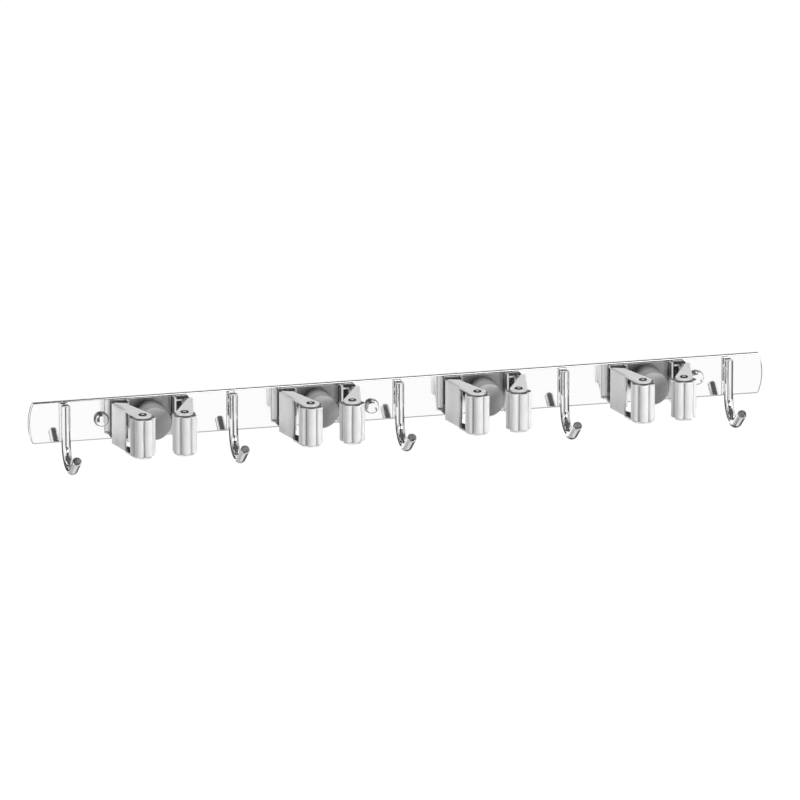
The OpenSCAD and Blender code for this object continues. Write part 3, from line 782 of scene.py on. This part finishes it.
def make_clamps():
    for k in range(1, 5):
        pre = "clamp_%d_" % k
        make_bracket(k)
        pad = thing("pad_drum_%d" % k, *make_pad(k))
        even_normals(pad, 50)
        finish(pad, "rack", [pre + "pad"], "grey_rubber", M_PAD, M_PAD_SIDE_PAINTED_SHADE)
        # painted shade on the drum's side and back
        for p in pad.data.polygons:
            if p.normal.y > -0.35:
                p.material_index = 1
        h = 12.7
        pin = lathe([(0, -h), (1.1, -h + 0.02), (1.4, -h + 0.12), (1.5, -h + 0.35), (1.5, h - 0.35), (1.4, h - 0.12), (1.1, h - 0.02), (0, h)], 32)
        pins = [moved(pin, lambda x, y, z: (clamp_x(k) + s * PIVOT.x + x, -(T + PIVOT.y) + y, z)) for s in (-1, 1)]
        ob = thing("pivot_pin_pair_%d" % k, *join(pins))
        even_normals(ob, 50)
        finish(ob, "rack", [pre + "pivot_pins"], "pin_steel", M_PIN)
        for s, side in ((-1, "left"), (1, "right")):
            q = pre + side + "_"
            arm = make_arm(s, k)
            arm.name = q + "arm_stamping"
            finish(arm, q + "arm_body", [q + "arm"], "satin_steel", M_SATIN, M_INSIDE_PAINTED_SHADE)
            paint_channel_shade(arm, s, k)
            riv = thing(q + "hollow_rivet", *make_rivet_pin(k, s))
            even_normals(riv, 50)
            finish(riv, q + "arm_body", [q + "roller_pin"], "hollow_rivet", M_RIVET, M_GROOVE_PAINTED_SHADE)
            paint_rivet_shade(riv, k, s)
            rol = thing(q + "ribbed_roller", *make_roller(k, s, math.radians(FIRST[k - 1][0 if s < 0 else 1])))
            even_normals(rol, 50)
            finish(rol, q + "roller_body", [q + "roller"], "light_rubber", M_ROLLER, M_ROLLER_END_PAINTED_SHADE, M_ROLLER_GROOVE_PAINTED_SHADE, M_ROLLER_FLANK_PAINTED_SHADE)
            cx, cy = clamp_x(k) + s * ROLL.x, -(T + ROLL.y)
            # painted shade: dark roller ends, darker grooves, mid-grey groove flanks
            for p in rol.data.polygons:
                at = math.hypot(p.center.x / MM - cx, p.center.y / MM - cy)
                if abs(p.normal.z) > 0.55:
                    p.material_index = 1
                elif 5.5 < at < 7.1:
                    p.material_index = 2 if at < 6.55 else 3
            coil, leg = spring_parts(k, s)
            ob = thing(q + "spring_coil", *coil)
            finish(ob, "rack", [q + "spring"], "spring_steel", M_SPRING)
            ob = thing(q + "spring_leg", *leg)
            finish(ob, q + "arm_body", [], "spring_steel", M_SPRING)


make_clamps()


# ------------------------------------------------------------- stage, lights
def glow(name, level):
    m, nt, b = shader(name)
    b.inputs["Base Color"].default_value = (0.0, 0.0, 0.0, 1)
    b.inputs["Specular IOR Level"].default_value = 0.0
    b.inputs["Emission Color"].default_value = (1, 1, 1, 1)
    b.inputs["Emission Strength"].default_value = level
    return m


def sheet(name, corners, level, camera=False):
    """A flat card of even brightness that shows in polished surfaces but lights nothing."""
    me = bpy.data.meshes.new(name)
    me.from_pydata(corners, [], [(0, 1, 2, 3)])
    ob = link(bpy.data.objects.new(name, me))
    me.materials.append(glow(name, level))
    ob.visible_camera = camera
    ob.visible_diffuse = False
    ob.visible_shadow = False


def make_stage():
    sheet("floor", [(-30, -30, -0.5), (30, -30, -0.5), (30, 40, -0.5), (-30, 40, -0.5)], 1.02, True)
    sheet("front_wall", [(-14, -9, -0.49), (14, -9, -0.49), (14, -9, 7), (-14, -9, 7)], 1.0)
    sheet("left_wall", [(-7, -9, -0.49), (-7, 3, -0.49), (-7, 3, 4), (-7, -9, 4)], 1.0)
    sheet("right_wall", [(7, -9, -0.49), (7, 3, -0.49), (7, 3, 4), (7, -9, 4)], 1.0)
    sheet("front_roof", [(-14, -9, 7), (14, -9, 7), (14, -2, 7), (-14, -2, 7)], 1.0)
    # side flags: the dark lines along the edges of the round rods
    sheet("flag_left", [(-1.1, 0.2, -0.49), (-0.4, 1.45, -0.49), (-0.4, 1.45, 0.1), (-1.1, 0.2, 0.1)], 0.05)
    sheet("flag_right", [(0.95, -0.1, -0.49), (0.5, 1.5, -0.49), (0.5, 1.5, -0.1), (0.95, -0.1, -0.1)], 0.10)
    sheet("flag_side", [(0.98, -0.62, -0.49), (0.98, -0.1, -0.49), (0.98, -0.1, -0.1), (0.98, -0.62, -0.1)], 0.28)
    # the grey line down the middle of the rods
    sheet("flag_front", [(-1.05, -1.2, -0.49), (-0.2, -1.2, -0.49), (-0.2, -1.2, 0.12), (-1.05, -1.2, 0.12)], 0.16)
    # below: the undersides; above: cut rod ends and top edges; behind: level faces
    sheet("flag_line", [(-0.9, -0.5, -0.46), (0.9, -0.5, -0.46), (0.9, 0.16, -0.46), (-0.9, 0.16, -0.46)], 0.42)
    sheet("flag_under", [(-0.9, 0.16, -0.46), (0.9, 0.16, -0.46), (0.9, 0.235, -0.46), (-0.9, 0.235, -0.46)], 0.72)
    sheet("flag_inner", [(-0.9, 0.235, -0.46), (0.0, 0.235, -0.46), (0.0, 0.95, -0.46), (-0.9, 0.95, -0.46)], 0.48)
    sheet("flag_edge", [(0.0, 0.235, -0.46), (0.9, 0.235, -0.46), (0.9, 1.1, -0.46), (0.0, 1.1, -0.46)], 0.10)
    sheet("flag_tips", [(-0.02, -0.66, 0.89), (0.56, -0.66, 0.89), (0.56, -0.42, 0.89), (-0.02, -0.42, 0.89)], 0.27)
    sheet("flag_bend", [(-0.75, -1.1, 0.9), (0.85, -1.1, 0.9), (0.85, -0.42, 0.9), (-0.75, -0.42, 0.9)], 0.07)
    sheet("flag_rear", [(-4.5, 2.95, 1.2), (-0.2, 2.95, 1.2), (-0.2, 2.95, 2.4), (-4.5, 2.95, 2.4)], 0.05)
    sheet("flag_gap", [(-1.2, -2.05, 0.72), (0.3, -2.05, 0.72), (0.3, -2.05, 1.75), (-1.2, -2.05, 1.75)], 0.12)
    # in front, high: the rims of the screw caps
    sheet("flag_high", [(-0.95, -1.9, 0.1), (0.8, -1.9, 0.1), (0.8, -1.9, 0.72), (-0.95, -1.9, 0.72)], 0.08)
    sheet("flag_over", [(-1.2, -0.42, 0.9), (1.2, -0.42, 0.9), (1.2, 0.6, 0.9), (-1.2, 0.6, 0.9)], 0.10)
    sheet("flag_back", [(-2, 1.0, 0.18), (2, 1.0, 0.18), (2, 1.0, 0.42), (-2, 1.0, 0.42)], 0.04)
    sheet("back_wall", [(-6, 3, -0.49), (6, 3, -0.49), (6, 3, 3.5), (-6, 3, 3.5)], 1.1)

    # bright band between the front wall and its roof: the white line under the top edges
    sheet("panel_high", [(-2.5, -2.4, 1.0), (2.5, -2.4, 1.0), (2.5, -2.2, 1.9), (-2.5, -2.2, 1.9)], 3.0)

    w = bpy.data.worlds.new("studio")
    w.use_nodes = True
    bg = w.node_tree.nodes["Background"]
    bg.inputs["Color"].default_value = (1, 1, 1, 1)
    bg.inputs["Strength"].default_value = 0.42
    bpy.context.scene.world = w

    def area(name, loc, to, size, power, gloss):
        li = bpy.data.lights.new(name, "AREA")
        li.shape, li.size, li.energy = "SQUARE", size, power
        ob = link(bpy.data.objects.new(name, li))
        ob.location = loc
        ob.rotation_mode = "QUATERNION"
        ob.rotation_quaternion = (Vector(to) - Vector(loc)).to_track_quat("-Z", "Y")
        ob.visible_glossy = gloss

    area("key", (1.3, -2.05, 0.95), (0, 0, 0), 1.0, 46, False)
    area("back", (-0.8, 1.3, 1.0), (0, 0, 0), 1.0, 30, False)
    sc = bpy.context.scene
    sc.view_settings.view_transform = "Standard"
    sc.view_settings.look = "None"


make_stage()
